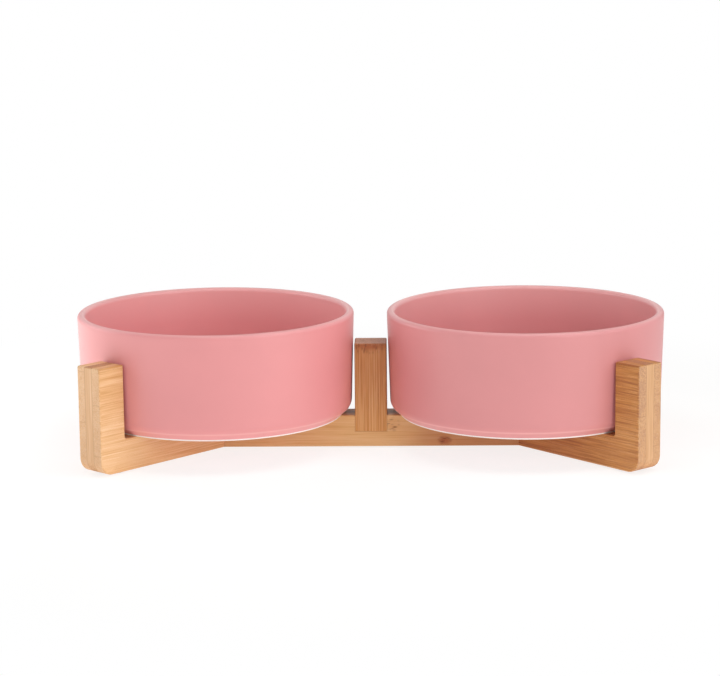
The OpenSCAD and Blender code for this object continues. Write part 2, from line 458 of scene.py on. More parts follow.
# Share of the easing that is left on the edges where the post stands in the rail's notch
NOTCH_EASING = 0.2
# Tone, core and marks of each leg's board, as Grain has them, the first board's seed, and the step from one
# board's seed to the next. The front right board's browner tone is partly painted shade.
LEG_BOARDS = {
    "front_left": (-0.02, 0.12, ()),
    # Its browner tone is partly painted shade on this leg.
    "front_right": (0.45, -0.28, ()),
    "rear_left": (0.0, 0.05, ((60.0, 12.0, 3.6, 4.0, 0.1, 0.5),)),
    "rear_right": (0.1, 0.0, ((35.0, 9.0, 3.6, 4.0, 0.2, 0.5), (86.0, 40.0, 3.6, 4.0, 0.1, 0.4))),
}
LEG_SEED = 12.3
LEG_SEED_STEP = 5.9


def rail_mitre(look):
    """How far the mitre between the rail and a leg reaches along either, at the side of the board."""
    return BOARD_T / 2 / tan(pi / 4 + look.arm_angle / 2)


def make_rail(look, fixing):
    """Makes the rail: pointed ends, a notch for the post and a countersunk hole for the screw."""
    reach = rail_mitre(look)
    patch = fixing.hole_patch
    half = POST_W / 2
    outline = joined(
        [(-BOWL_X, 0)],
        [(x, 0) for x in (-patch, 0, patch)],
        [(BOWL_X, 0), (BOWL_X, BAR_H)],
        supported((BOWL_X - BOARD_T / 2, BAR_H), (half, BAR_H)),
        [(half, NOTCH_Z), (-half, NOTCH_Z)],
        supported((-half, BAR_H), (BOARD_T / 2 - BOWL_X, BAR_H)),
        [(-BOWL_X, BAR_H)],
    )
    at_end = np.isclose(np.abs(outline[:, 0]), BOWL_X)
    ends = -np.sign(outline[:, 0]) * at_end
    in_notch = np.isclose(np.abs(outline[:, 0]), half)
    softness = np.where(in_notch, NOTCH_EASING, 1.0)
    across = slices(BOARD_T, look.ease, (-patch, 0, patch))
    points = board(outline, across, softness, ends, lambda y: reach * np.abs(y) / (BOARD_T / 2), look.seam)
    faces = board_faces(len(outline), len(across))
    points, faces = countersunk(points, faces, outline, across, fixing)
    points[:, 2] += WOOD_Z
    marks_and_shade = (
        (12.5, 12.6, 4.2, 4.4, 0.1, 1.0),
        (41.4, 3.2, 4.6, 3.2, 0.45, 1.0),
        (34.0, 5.0, 13.0, 6.0, 0.14, 0.0),
        (-52.0, 12.0, 3.6, 4.0, 0.1, 0.4),
        (74.0, 9.0, 3.6, 5.0, 0.2, 0.4),
        # Painted shade: this broad stain darkens the right half of the rail.
        (85.0, 4.0, 78.0, 40.0, 0.4, 0.0),
    )
    grain = Grain((0, 0, WOOD_Z), (0, 0, 0), seed=3.1, tone=-0.09, core=0.12, golden=0.42, marks_and_shade=marks_and_shade)
    piece("bamboo_rail", points, faces, bamboo("rail", look, grain), "stand", "bamboo", "rail")


def countersunk(points, faces, outline, across, fixing):
    """Sets a countersunk hole in the rail's underside. The four faces round the middle give way to a
    ring of flat faces from the eight points round them to the hole's edge, and rings go up the hole. Each
    ring starts in the direction of the first of the eight points."""
    around = len(outline)
    stops = (-fixing.hole_patch, 0, fixing.hole_patch)
    columns = [int(np.argmin(np.hypot(outline[:, 0] - x, outline[:, 1]))) for x in stops]
    rows = [int(np.argmin(np.abs(across[:, 0] - y) + across[:, 1])) for y in stops]
    gone = {row * around + column for row in rows[:2] for column in columns[:2]}
    kept = [face for number, face in enumerate(faces) if number not in gone]
    corners = [(0, 0), (1, 0), (2, 0), (2, 1), (2, 2), (1, 2), (0, 2), (0, 1)]
    border = [rows[row] * around + columns[column] for column, row in corners]
    count = HOLE_PER_SIDE * len(border)
    turn = radians(225) + 2 * pi * np.arange(count) / count
    head_r = HEAD_R + fixing.hole_gap
    shank_r = head_r / 2
    levels = ((head_r, 0), (shank_r, head_r - shank_r), (shank_r, 2 * (head_r - shank_r)))
    rings = [np.column_stack([r * np.cos(turn), r * np.sin(turn), np.full(count, z)]) for r, z in levels]
    first = len(points)
    for number in range(len(border)):
        start = number * HOLE_PER_SIDE
        edge = [first + (start + step) % count for step in range(HOLE_PER_SIDE + 1)]
        kept.append([border[number], border[(number + 1) % len(border)], *edge[::-1]])
    j = np.arange(count)
    k = (j + 1) % count
    for level in range(len(levels) - 1):
        low = first + level * count
        kept.extend(np.stack([low + j, low + k, low + count + k, low + count + j], axis=-1).tolist())
    kept.append([int(first + (len(levels) - 1) * count + step) for step in j])
    return np.vstack([points, *rings]), kept


def make_post(look):
    """Makes the post between the bowls, with tight edges where it stands in the rail's notch."""
    half = POST_W / 2
    tip = look.tip_r
    outline = joined(
        [(-half, NOTCH_Z), (half, NOTCH_Z)],
        supported((half, BAR_H), (half, POST_H - tip)),
        arc((half - tip, POST_H - tip), tip, 0, 90, TIP_POINTS),
        supported((half - tip, POST_H), (tip - half, POST_H)),
        arc((tip - half, POST_H - tip), tip, 90, 180, TIP_POINTS),
        supported((-half, POST_H - tip), (-half, BAR_H)),
    )
    softness = np.where(outline[:, 1] < BAR_H + SUPPORT / 2, NOTCH_EASING, 1.0)
    across = slices(BOARD_T, look.ease)
    still = np.zeros(len(outline))
    points = board(outline, across, softness, still, lambda y: 0 * y, 0)
    points[:, 2] += WOOD_Z
    faces = board_faces(len(outline), len(across))
    top = POST_H / MM
    marks_and_shade = (
        (top - 0.8, 0.0, 3.6, 14.0, 0.45, 0.2),
        (top - 2.8, 2.0, 3.6, 11.0, 0.1, 0.9),
        # The broad last mark makes the post darker towards its top.
        (top + 5.0, 0.0, 55.0, 60.0, 0.3, 0.0),
    )
    upright = (0, radians(-90), 0)
    grain = Grain((0, 0, WOOD_Z), upright, seed=8.7, tone=0.36, core=0.12, golden=0.1, marks_and_shade=marks_and_shade)
    piece("bamboo_post", points, faces, bamboo("post", look, grain), "stand", "bamboo", "centre_post")


def leg_outline(look):
    """Side view of a leg (along its arm, up) from the bowl's axis out, with which points are at the
    mitre. The leg's box in the frame gives the length of the arm."""
    arm = (leg_high.x - BOWL_X - BOARD_T / 2 * cos(look.arm_angle)) / sin(look.arm_angle)
    inner = RIM_R + BOWL_GAP
    heel, tip, crook = look.heel_r, look.tip_r, look.crook_r
    outline = joined(
        [(0, 0)],
        supported((BOARD_T / 2, 0), (arm - heel, 0)),
        arc((arm - heel, heel), heel, -90, 0, 17),
        supported((arm, heel), (arm, LEG_H - tip)),
        arc((arm - tip, LEG_H - tip), tip, 0, 90, TIP_POINTS),
        supported((arm - tip, LEG_H), (inner + tip, LEG_H)),
        arc((inner + tip, LEG_H - tip), tip, 90, 180, TIP_POINTS),
        supported((inner, LEG_H - tip), (inner, BAR_H + crook)),
        arc((inner - crook, BAR_H + crook), crook, 0, -90, 8),
        supported((inner - crook, BAR_H), (BOARD_T / 2, BAR_H)),
        [(0, BAR_H)],
    )
    return outline, np.where(outline[:, 0] < SUPPORT, 1.0, 0.0)


def make_legs(look):
    """Makes the four legs, each from one board: an arm mitred to the rail and to the other arm, with a
    round heel and an upright."""
    reach = rail_mitre(look)
    pair_reach = BOARD_T / 2 / tan(pi / 2 - look.arm_angle)
    outline, ends = leg_outline(look)
    across = slices(BOARD_T, look.ease, (0,))

    def mitre(y):
        """Reach of the mitre across the board: to the rail on one side, to the other leg on the other."""
        return np.where(y > 0, reach * y, -pair_reach * y) / (BOARD_T / 2)

    shape = board(outline, across, np.ones(len(outline)), ends, mitre, look.seam)
    faces = board_faces(len(outline), len(across))
    swing = pi / 2 - look.arm_angle
    turn = np.array([[cos(swing), -sin(swing), 0], [sin(swing), cos(swing), 0], [0, 0, 1]])
    for number, (corner, (side, end)) in enumerate(CORNERS.items()):
        node = corner + "_leg"
        origin = (side * BOWL_X, 0, WOOD_Z)
        points = shape @ (np.diag([side, end, 1]) @ turn).T + origin
        heading = atan2(end * sin(swing), side * cos(swing))
        seed = LEG_SEED + LEG_SEED_STEP * number
        tone, core, marks_and_shade = LEG_BOARDS[corner]
        grain = Grain(origin, (0, 0, heading), seed, tone, core, golden=0.0, marks_and_shade=marks_and_shade)
        piece("bamboo_" + node, points, faces, bamboo(node, look, grain), "stand", "bamboo", node)


# Fixings

def make_pads(look):
    """Makes the four pads, turned, with a rounded lower edge."""
    radius = (pad_high.x - pad_low.x) / 2
    height = pad_high.z - pad_low.z
    edge = look.pad_edge
    profile = joined(
        stroke((0, 0), (radius - edge, 0), 8),
        arc((radius - edge, edge), edge, 270, 360, 7),
        stroke((radius, edge), (radius, height), 3),
        stroke((radius, height), (0, height), 6),
    )
    faces = lathe_faces(len(profile) - 2, PAD_AROUND)
    points = lathe(profile, PAD_AROUND)
    material = clear_rubber(look)
    for corner in CORNERS:
        node = corner + "_pad"
        low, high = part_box(node)
        place = [(low.x + high.x) / 2, (low.y + high.y) / 2, low.z]
        piece("rubber_" + node, points + place, faces, material, "stand", "pad_rubber", node)


def finish_node(node, material):
    """Gives a CAD node a better material in place of its own."""
    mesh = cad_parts[node].data
    mesh.materials.clear()
    mesh.materials.append(material)


# Materials

WHITE = (1.0, 1.0, 1.0, 1.0)
# How much thicker the glaze lies in the middle of a cloud
CLOUD_DEPTH = 0.3
# The bamboo board's plies, the width of a strip of cane, and the length and width of the cells that the
# specks of a joint lie in, in millimetres
PLIES = 3
STRIP_W = 28.0
SPECK_L = 3.2
SPECK_W = 1.1
# Bands, streaks and fibres along the strips: their length and width in millimetres, and share of the tone
FIBRES = ((90, 5, 0.16), (40, 0.7, 0.3), (18, 0.35, 0.24))
# How far apart the patterns of two strips can lie along the cane, in millimetres, and how far the strips
# of one ply are shifted from the next ply's, in widths of a strip
STRIP_SLIDE = 400.0
PLY_SHIFT = 0.31
# How much browner one strip can be than another, and the middle ply where its fibres end in the surface
STRIP_TONE = 0.11
END_TONE = 0.5
# How much fainter the middle ply's specks are at such ends, and how grey it is where its fibres don't end
END_CALM = 0.6
FLANK_GREY = 0.4
# How deep the streaks are, as a share of the fibres' depth
STREAK_DEPTH = 0.5


def add(tree, kind, inputs=(), out=0, stops=(), **settings):
    """Adds a node, sets it up, and returns the output that is asked for, or several. The inputs are
    values or links, in the order of the sockets or by name, and stops are a ramp's places and colours.
    Of a Mix node, socket 0 is the share, 2 and 3 are numbers, 6 and 7 are colours, and output 2 is the
    mixed colour. A new ramp has its first two stops already."""
    node = tree.nodes.new(kind)
    for key, value in settings.items():
        setattr(node, key, value)
    for number, (place, shade) in enumerate(stops):
        element = node.color_ramp.elements[number] if number < 2 else node.color_ramp.elements.new(place)
        element.position = place
        element.color = shade
    for key, value in inputs.items() if isinstance(inputs, dict) else enumerate(inputs):
        if isinstance(value, bpy.types.NodeSocket):
            tree.links.new(value, node.inputs[key])
        else:
            node.inputs[key].default_value = value
    return node.outputs[out] if node.outputs else None


def blank(name):
    """A new material with an empty node tree."""
    material = bpy.data.materials.new(name)
    material.use_nodes = True
    material.node_tree.nodes.clear()
    return material, material.node_tree


@dataclass
class Grain:
    """Where a board's pattern lies, in millimetres once turned: +X along the grain of its outer plies, +Y
    through the plies and +Z across the strips. A higher tone is a browner board, core is how much browner its
    middle ply is, and golden is how far it leans to the golden colour. A mark is a joint of the cane, the
    brown stretch beside one, or a broad darkening over part of a board, which on the rail is painted shade:
    its place along and across, its half length and half width, and how strong its darkening and its specks
    are."""
    origin: tuple
    turn: tuple
    seed: float
    tone: float
    core: float
    golden: float
    marks_and_shade: tuple


def satin_glaze(name, look, depth):
    """Stoneware with a satin matt glaze, sprayed and fired. The eye gets a soft even pink with a broad dull
    sheen, paler on the lip and on the line above the band, where thin glaze and a painted highlight lie, with
    painted light on the band above the foot, a painted sheen inside just below the lip, and a dry off-white
    foot without glaze. The right bowl is drawn deeper in colour all over, as painted shade."""
    material, tree = blank("satin_glazed_stoneware_" + name)
    at = add(tree, "ShaderNodeTexCoord", out="Object")
    bare = add(tree, "ShaderNodeAttribute", out="Fac", attribute_name="bare")
    thin_and_painted_light = add(tree, "ShaderNodeAttribute", out="Fac", attribute_name="thin_and_painted_light")
    # Faint clouds about 25 mm across, where the sprayed glaze lies thicker
    cloud = add(tree, "ShaderNodeTexNoise", {"Vector": at, "Scale": 1 / (25 * MM), "Detail": 3.0})
    # The depth lifts the clouds towards the deep colour; the right bowl's larger depth is painted shade.
    thick_and_shade = add(tree, "ShaderNodeMath", (cloud, CLOUD_DEPTH, depth), operation="MULTIPLY_ADD")
    glaze = add(tree, "ShaderNodeMix", {
        0: thick_and_shade, 6: look.glaze[:], 7: look.deep_glaze_and_shade[:],
    }, 2, data_type="RGBA")
    # Pale glaze colour where the share says: thin glaze, painted highlights, painted light on the band and
    # painted sheen inside.
    broken_and_lit = add(tree, "ShaderNodeMix", {0: thin_and_painted_light, 6: glaze, 7: look.thin_glaze_and_highlight[:]}, 2, data_type="RGBA")
    # Grains about 0.5 mm across in the bare clay
    grain = add(tree, "ShaderNodeTexNoise", {"Vector": at, "Scale": 1 / (0.5 * MM), "Detail": 2.0})
    sand = add(tree, "ShaderNodeMapRange", {"Value": grain, "To Min": 0.9, "To Max": 1.05})
    clay = add(tree, "ShaderNodeMix", {0: 1.0, 6: look.stoneware[:], 7: sand}, 2, data_type="RGBA",
               blend_type="MULTIPLY")
    base = add(tree, "ShaderNodeMix", {0: bare, 6: broken_and_lit, 7: clay}, 2, data_type="RGBA")
    # The dull skin of the glaze varies over about 3 mm
    skin = add(tree, "ShaderNodeTexNoise", {"Vector": at, "Scale": 1 / (3 * MM), "Detail": 3.0})
    satin = add(tree, "ShaderNodeMapRange", {"Value": skin, "To Min": 0.36, "To Max": 0.42})
    roughness = add(tree, "ShaderNodeMix", {0: bare, 2: satin, 3: 0.9})
    # Fine dimples about 0.9 mm across, as on orange peel
    peel = add(tree, "ShaderNodeTexNoise", {"Vector": at, "Scale": 1 / (0.9 * MM), "Detail": 1.0})
    height = add(tree, "ShaderNodeMix", {0: bare, 2: peel, 3: grain})
    bump = add(tree, "ShaderNodeBump", {"Height": height, "Strength": 0.5, "Distance": 0.008 * MM})
    shader = add(tree, "ShaderNodeBsdfPrincipled", {
        "Base Color": base, "Roughness": roughness, "Normal": bump, "IOR": 1.5,
    })
    add(tree, "ShaderNodeOutputMaterial", {"Surface": shader})
    return material


def bamboo(name, look, grain):
    """Three-ply laminated bamboo, sanded and oiled. The eye gets honey-coloured wood with fine pale and
    brown streaks along it, specks where the fibres are cut across, thin lines between the plies, and
    here and there the short dark flecks of a joint of the cane. The middle ply lies crosswise."""
    ply_t = BOARD_T / MM / PLIES
    material, tree = blank("laminated_bamboo_" + name)
    at = add(tree, "ShaderNodeTexCoord", out="Object")
    place = add(tree, "ShaderNodeMapping", {
        "Vector": at, "Location": grain.origin, "Rotation": grain.turn, "Scale": (MM, MM, MM),
    }, vector_type="TEXTURE")
    x, y, z = add(tree, "ShaderNodeSeparateXYZ", (place,), slice(None))
    # The plies are numbered -1, 0 and 1, and in the middle one the fibres run along Z
    layer = add(tree, "ShaderNodeMath", (y, ply_t), operation="DIVIDE")
    ply = add(tree, "ShaderNodeMath", (layer,), operation="ROUND")
    middle = add(tree, "ShaderNodeMath", (ply, 0.0, 0.5), operation="COMPARE")
    along = add(tree, "ShaderNodeMix", {0: middle, 2: x, 3: z})
    cross = add(tree, "ShaderNodeMix", {0: middle, 2: z, 3: x})
    # Strips of cane, each with a tone of its own
    shift = add(tree, "ShaderNodeMath", (ply, PLY_SHIFT, grain.seed), operation="MULTIPLY_ADD")
    strips = add(tree, "ShaderNodeMath", (cross, 1 / STRIP_W, shift), operation="MULTIPLY_ADD")
    number = add(tree, "ShaderNodeMath", (strips,), operation="FLOOR")
    strip = add(tree, "ShaderNodeCombineXYZ", (number, ply))
    tone = add(tree, "ShaderNodeTexWhiteNoise", {"Vector": strip, "W": grain.seed}, noise_dimensions="4D")
    slid = add(tree, "ShaderNodeMath", (tone, STRIP_SLIDE, along), operation="MULTIPLY_ADD")
    fibres_at = add(tree, "ShaderNodeCombineXYZ", (slid, y, cross))
    # The middle ply has a tone of its own, and is browner where its fibres end in the surface
    facing = add(tree, "ShaderNodeTexCoord", out="Normal")
    turned = add(tree, "ShaderNodeMapping", {"Vector": facing, "Rotation": grain.turn}, vector_type="TEXTURE")
    normal = add(tree, "ShaderNodeSeparateXYZ", (turned,), slice(None))
    cut = add(tree, "ShaderNodeMix", {0: middle, 2: normal[0], 3: normal[2]})
    ends = add(tree, "ShaderNodeMath", (cut, cut), operation="MULTIPLY")
    browner = add(tree, "ShaderNodeMath", (ends, END_TONE, grain.core), operation="MULTIPLY_ADD")
    own_tone = add(tree, "ShaderNodeMath", (tone, STRIP_TONE, grain.tone), operation="MULTIPLY_ADD")
    value = add(tree, "ShaderNodeMath", (middle, browner, own_tone), operation="MULTIPLY_ADD")
    # Bands, streaks and fibres
    layers = []
    for length, width, share in FIBRES:
        shrink = (1 / length, 1 / width, 1 / width)
        drawn = add(tree, "ShaderNodeVectorMath", (fibres_at, shrink), operation="MULTIPLY")
        noise = add(tree, "ShaderNodeTexNoise", {"Vector": drawn, "Scale": 1.0, "Detail": 1.0})
        layers.append(add(tree, "ShaderNodeMapRange", {"Value": noise, "From Min": 0.34, "From Max": 0.66}))
        value = add(tree, "ShaderNodeMath", (layers[-1], share, value), operation="MULTIPLY_ADD")
    streaks, fibres = layers[1:]
    stops = [(0.0, look.pale[:]), (0.4, look.honey[:]), (0.8, look.brown[:]), (1.0, look.dark[:])]
    ramp = add(tree, "ShaderNodeValToRGB", (value,), stops=stops)
    wood = add(tree, "ShaderNodeMix", {0: grain.golden, 6: ramp, 7: look.golden[:]}, 2, data_type="RGBA")
    # Joints of the cane: a stain, and dark specks about 0.8 mm wide and 2 mm long. The same stain colour also
    # darkens broad stretches, on the rail as painted shade.
    stain_and_shade, speckled = 0.0, 0.0
    for mark_x, mark_z, half_x, half_z, stain_and_shade_share, dotted in grain.marks_and_shade:
        off = add(tree, "ShaderNodeVectorMath", (place, (mark_x, 0, mark_z)), operation="SUBTRACT")
        flat = add(tree, "ShaderNodeVectorMath", (off, (1 / half_x, 0, 1 / half_z)), operation="MULTIPLY")
        away = add(tree, "ShaderNodeVectorMath", (flat,), "Value", operation="LENGTH")
        near = add(tree, "ShaderNodeMapRange", {
            "Value": away, "From Min": 0.3, "From Max": 1.1, "To Min": 1.0, "To Max": 0.0,
        }, interpolation_type="SMOOTHSTEP")
        stain_and_shade = add(tree, "ShaderNodeMath", (near, stain_and_shade_share, stain_and_shade), operation="MULTIPLY_ADD")
        speckled = add(tree, "ShaderNodeMath", (near, dotted, speckled), operation="MULTIPLY_ADD")
    tinted_and_shaded = add(tree, "ShaderNodeMix", {0: stain_and_shade, 6: wood, 7: look.joint[:]}, 2, data_type="RGBA")
    # Greyer, with specks, where the fibres end in the surface, less so in the middle ply, which is an even
    # grey where they don't
    specks = add(tree, "ShaderNodeMapRange", {"Value": fibres, "To Min": 0.75, "To Max": 0.2})
    outer = add(tree, "ShaderNodeMath", (middle, -END_CALM, 1.0), operation="MULTIPLY_ADD")
    shown = add(tree, "ShaderNodeMath", (ends, outer), operation="MULTIPLY")
    flank = add(tree, "ShaderNodeMath", (middle, ends), operation="SUBTRACT", use_clamp=True)
    dull = add(tree, "ShaderNodeMath", (flank, FLANK_GREY), operation="MULTIPLY")
    grey = add(tree, "ShaderNodeMath", (specks, shown, dull), operation="MULTIPLY_ADD")
    cut_wood = add(tree, "ShaderNodeMix", {0: grey, 6: tinted_and_shaded, 7: look.cut[:]}, 2, data_type="RGBA")
    # Glue lines, strong between plies, and between strips only where the fibres end in the surface
    depth = add(tree, "ShaderNodeMath", (y,), operation="ABSOLUTE")
    from_ply = add(tree, "ShaderNodeMath", (depth, -1.0, ply_t / 2), operation="MULTIPLY_ADD")
    off_ply = add(tree, "ShaderNodeMath", (from_ply,), operation="ABSOLUTE")
    ply_line = add(tree, "ShaderNodeMapRange", {
        "Value": off_ply, "From Min": 0.06, "From Max": 0.25, "To Min": 0.4, "To Max": 0.0,
    })
    off_strip = add(tree, "ShaderNodeMath", (strips, 0.5), operation="PINGPONG")
    strip_line = add(tree, "ShaderNodeMapRange", {
        "Value": off_strip, "From Min": 0.1 / STRIP_W, "From Max": 0.35 / STRIP_W,
        "To Min": 0.25, "To Max": 0.0,
    })
    end_line = add(tree, "ShaderNodeMath", (strip_line, ends), operation="MULTIPLY")
    line = add(tree, "ShaderNodeMath", (end_line, ply_line), operation="MAXIMUM")
    lined = add(tree, "ShaderNodeMix", {0: line, 6: cut_wood, 7: look.glue[:]}, 2, data_type="RGBA")
    shrink = (1 / SPECK_L, 1 / SPECK_W, 1 / SPECK_W)
    cell = add(tree, "ShaderNodeVectorMath", (fibres_at, shrink), operation="MULTIPLY")
    spot = add(tree, "ShaderNodeTexVoronoi", {"Vector": cell, "Scale": 1.0}, "Distance")
    speck = add(tree, "ShaderNodeMapRange", {
        "Value": spot, "From Min": 0.15, "From Max": 0.55, "To Min": 1.0, "To Max": 0.0,
    })
    dark = add(tree, "ShaderNodeMath", (speckled, speck), operation="MULTIPLY")
    marked = add(tree, "ShaderNodeMix", {0: dark, 6: lined, 7: look.knot[:]}, 2, data_type="RGBA")
    roughness = add(tree, "ShaderNodeMapRange", {"Value": fibres, "To Min": 0.4, "To Max": 0.52})
    relief = add(tree, "ShaderNodeMath", (streaks, STREAK_DEPTH, fibres), operation="MULTIPLY_ADD")
    grooved = add(tree, "ShaderNodeMath", (relief, line), operation="SUBTRACT")
    bump = add(tree, "ShaderNodeBump", {"Height": grooved, "Strength": 0.6, "Distance": 0.03 * MM})
    shader = add(tree, "ShaderNodeBsdfPrincipled", {
        "Base Color": marked, "Roughness": roughness, "Normal": bump, "IOR": 1.5,
    })
    add(tree, "ShaderNodeOutputMaterial", {"Surface": shader})
    return material


def beech(look):
    """Beech dowel, turned and left bare. The eye gets a dry pale wood with short brown flecks along it."""
    material, tree = blank("bare_beech")
    at = add(tree, "ShaderNodeTexCoord", out="Object")
    # Flecks about 0.5 mm wide
    fleck = add(tree, "ShaderNodeTexNoise", {"Vector": at, "Scale": 1 / (0.5 * MM), "Detail": 2.0})
    flecked = add(tree, "ShaderNodeMapRange", {"Value": fleck, "From Min": 0.5, "From Max": 0.75})
    wood = add(tree, "ShaderNodeMix", {
        0: flecked, 6: look.beech[:], 7: look.beech_ray[:],
    }, 2, data_type="RGBA")
    bump = add(tree, "ShaderNodeBump", {"Height": fleck, "Strength": 0.5, "Distance": 0.03 * MM})
    shader = add(tree, "ShaderNodeBsdfPrincipled", {"Base Color": wood, "Roughness": 0.75, "Normal": bump})
    add(tree, "ShaderNodeOutputMaterial", {"Surface": shader})
    return material


def zinc_plate(look):
    """Zinc-plated steel, rolled and plated. The eye gets a bright grey metal with a slightly cloudy shine."""
    material, tree = blank("zinc_plated_steel")
    at = add(tree, "ShaderNodeTexCoord", out="Object")
    # Clouds in the plating about 0.8 mm across
    cloud = add(tree, "ShaderNodeTexNoise", {"Vector": at, "Scale": 1 / (0.8 * MM), "Detail": 3.0})
    roughness = add(tree, "ShaderNodeMapRange", {"Value": cloud, "To Min": 0.28, "To Max": 0.45})
    shader = add(tree, "ShaderNodeBsdfPrincipled", {
        "Base Color": look.zinc[:], "Metallic": 1.0, "Roughness": roughness,
    })
    add(tree, "ShaderNodeOutputMaterial", {"Surface": shader})
    return material


def clear_rubber(look):
    """Clear polyurethane rubber, cast. The eye gets a milky, slightly tacky pad with a soft shine."""
    material, tree = blank("clear_polyurethane_rubber")
    at = add(tree, "ShaderNodeTexCoord", out="Object")
    # Haze about 2 mm across
    haze = add(tree, "ShaderNodeTexNoise", {"Vector": at, "Scale": 1 / (2 * MM), "Detail": 2.0})
    roughness = add(tree, "ShaderNodeMapRange", {"Value": haze, "To Min": 0.3, "To Max": 0.45})
    shader = add(tree, "ShaderNodeBsdfPrincipled", {
        "Base Color": look.rubber[:], "Roughness": roughness, "IOR": 1.5, "Transmission Weight": 0.4,
    })
    add(tree, "ShaderNodeOutputMaterial", {"Surface": shader})
    return material


# Studio

# Each lamp: direction it shines from (degrees round from the front towards the right, and up), distance
# and side in metres, and how much of full white it gives a surface that faces it
LAMPS = {
    "right": (75, 33, 1.3, 0.7, 0.07),
    "low_right": (45, 10, 1.3, 0.7, 0.21),
    "high_right": (60, 60, 0.6, 0.28, 0.28),
    "high_left": (-20, 70, 0.6, 0.28, 0.24),
    "left": (-100, 20, 0.45, 0.28, 0.22),
}
# Elevations between which the screens on the walls fade in and out, in degrees
SCREENS_FOOT = (4, 12)
SCREENS_TOP = (27, 35)
# Distances from the middle between which the floor turns to plain white, and places along X between
# which its own light falls from the left's level to the rest's, in metres
WHITE_FROM = 0.2
WHITE_TO = 0.4
TABLE_FROM = -0.35
TABLE_TO = -0.15
# The camera's place in metres, how far it looks down, turns left and leans in degrees, and its focal
# length in millimetres, all fitted to the photo
CAMERA_AT = (0.02526, -1.38431, 0.33142)
CAMERA_DOWN = 11.03
CAMERA_LEFT = 1.29
CAMERA_ROLL = -0.61
CAMERA_LENS = 125.41


def seen_by_eye(tree):
    """One for rays from the camera and for what clear parts show, and nought for other rays."""
    camera_ray = add(tree, "ShaderNodeLightPath", out="Is Camera Ray")
    clear_ray = add(tree, "ShaderNodeLightPath", out="Is Transmission Ray")
    return add(tree, "ShaderNodeMath", (camera_ray, clear_ray), operation="MAXIMUM")


def make_floor(look):
    """A plain pale floor, lit a little from below like a light table, and more so to the left of the
    object. Its material keeps the object's shadow near the middle and turns to plain white further out,
    so that the floor has no visible edge."""
    half = look.floor_side / 2
    corners = [(-half, -half, 0), (half, -half, 0), (half, half, 0), (-half, half, 0)]
    mesh = bpy.data.meshes.new("floor")
    mesh.from_pydata(corners, [], [(0, 1, 2, 3)])
    material, tree = blank("matt_white_light_table")
    at = add(tree, "ShaderNodeTexCoord", out="Object")
    away = add(tree, "ShaderNodeVectorMath", (at,), "Value", operation="LENGTH")
    white = add(tree, "ShaderNodeMapRange", {
        "Value": away, "From Min": WHITE_FROM, "From Max": WHITE_TO, "To Min": look.floor_glow, "To Max": 1.0,
    }, interpolation_type="SMOOTHSTEP")
    share = add(tree, "ShaderNodeMath", (white, seen_by_eye(tree)), operation="MULTIPLY")
    paint = add(tree, "ShaderNodeBsdfDiffuse", {"Color": look.floor[:]})
    side = add(tree, "ShaderNodeSeparateXYZ", (at,), out="X")
    level = add(tree, "ShaderNodeMapRange", {
        "Value": side, "From Min": TABLE_FROM, "From Max": TABLE_TO,
        "To Min": look.table_left, "To Max": look.table,
    }, interpolation_type="SMOOTHSTEP")
    table = add(tree, "ShaderNodeEmission", {"Color": look.floor[:], "Strength": level})
    lit = add(tree, "ShaderNodeAddShader", (paint, table))
    glow = add(tree, "ShaderNodeEmission", {"Color": WHITE, "Strength": 1.0})
    mixed = add(tree, "ShaderNodeMixShader", (share, lit, glow))
    add(tree, "ShaderNodeOutputMaterial", {"Surface": mixed})
    mesh.materials.append(material)
    floor = bpy.data.objects.new("floor", mesh)
    bpy.context.scene.collection.objects.link(floor)


def make_world(look):
    """Even light from above, pale walls with a ring of bright screens on them all round, and plain white
    where the camera sees past the floor."""
    world = bpy.data.worlds.new("studio")
    world.use_nodes = True
    tree = world.node_tree
    tree.nodes.clear()
    at = add(tree, "ShaderNodeTexCoord", out="Generated")
    up = add(tree, "ShaderNodeSeparateXYZ", (at,), out="Z")
    light = look.walls
    for (low, high), level in ((SCREENS_FOOT, look.screens), (SCREENS_TOP, look.sky)):
        part = add(tree, "ShaderNodeMapRange", {
            "Value": up, "From Min": sin(radians(low)), "From Max": sin(radians(high)),
        }, interpolation_type="SMOOTHSTEP")
        light = add(tree, "ShaderNodeMix", {0: part, 2: light, 3: level})
    level = add(tree, "ShaderNodeMix", {0: seen_by_eye(tree), 2: light, 3: 1.0})
    sky = add(tree, "ShaderNodeBackground", {"Color": WHITE, "Strength": level})
    add(tree, "ShaderNodeOutputWorld", {"Surface": sky})
    bpy.context.scene.world = world


def make_lamps():
    """Square soft lamps that face the middle of the object. A lamp of power P at distance d gives a
    surface that faces it P over pi squared d squared of full white."""
    middle = Vector((0, 0, SEAT_Z + BOWL_H / 2))
    for name, (azimuth, elevation, distance, side, level) in LAMPS.items():
        round_by, up_by = radians(azimuth), radians(elevation)
        away = Vector((sin(round_by) * cos(up_by), -cos(round_by) * cos(up_by), sin(up_by)))
        lamp = bpy.data.lights.new(name, "AREA")
        lamp.size = side
        lamp.energy = level * pi ** 2 * distance ** 2
        placed = bpy.data.objects.new(name, lamp)
        placed.location = middle + away * distance
        placed.rotation_euler = away.to_track_quat("Z", "Y").to_euler()
        bpy.context.scene.collection.objects.link(placed)


def make_camera():
    """The photograph's viewpoint."""
    camera = bpy.data.cameras.new("camera")
    camera.lens = CAMERA_LENS
    placed = bpy.data.objects.new("camera", camera)
    turn = Matrix.Rotation(radians(CAMERA_LEFT), 4, "Z")
    tip = Matrix.Rotation(radians(90 - CAMERA_DOWN), 4, "X")
    roll = Matrix.Rotation(radians(CAMERA_ROLL), 4, "Z")
    placed.matrix_world = Matrix.Translation(CAMERA_AT) @ turn @ tip @ roll
    bpy.context.scene.collection.objects.link(placed)
    bpy.context.scene.camera = placed


# Operators

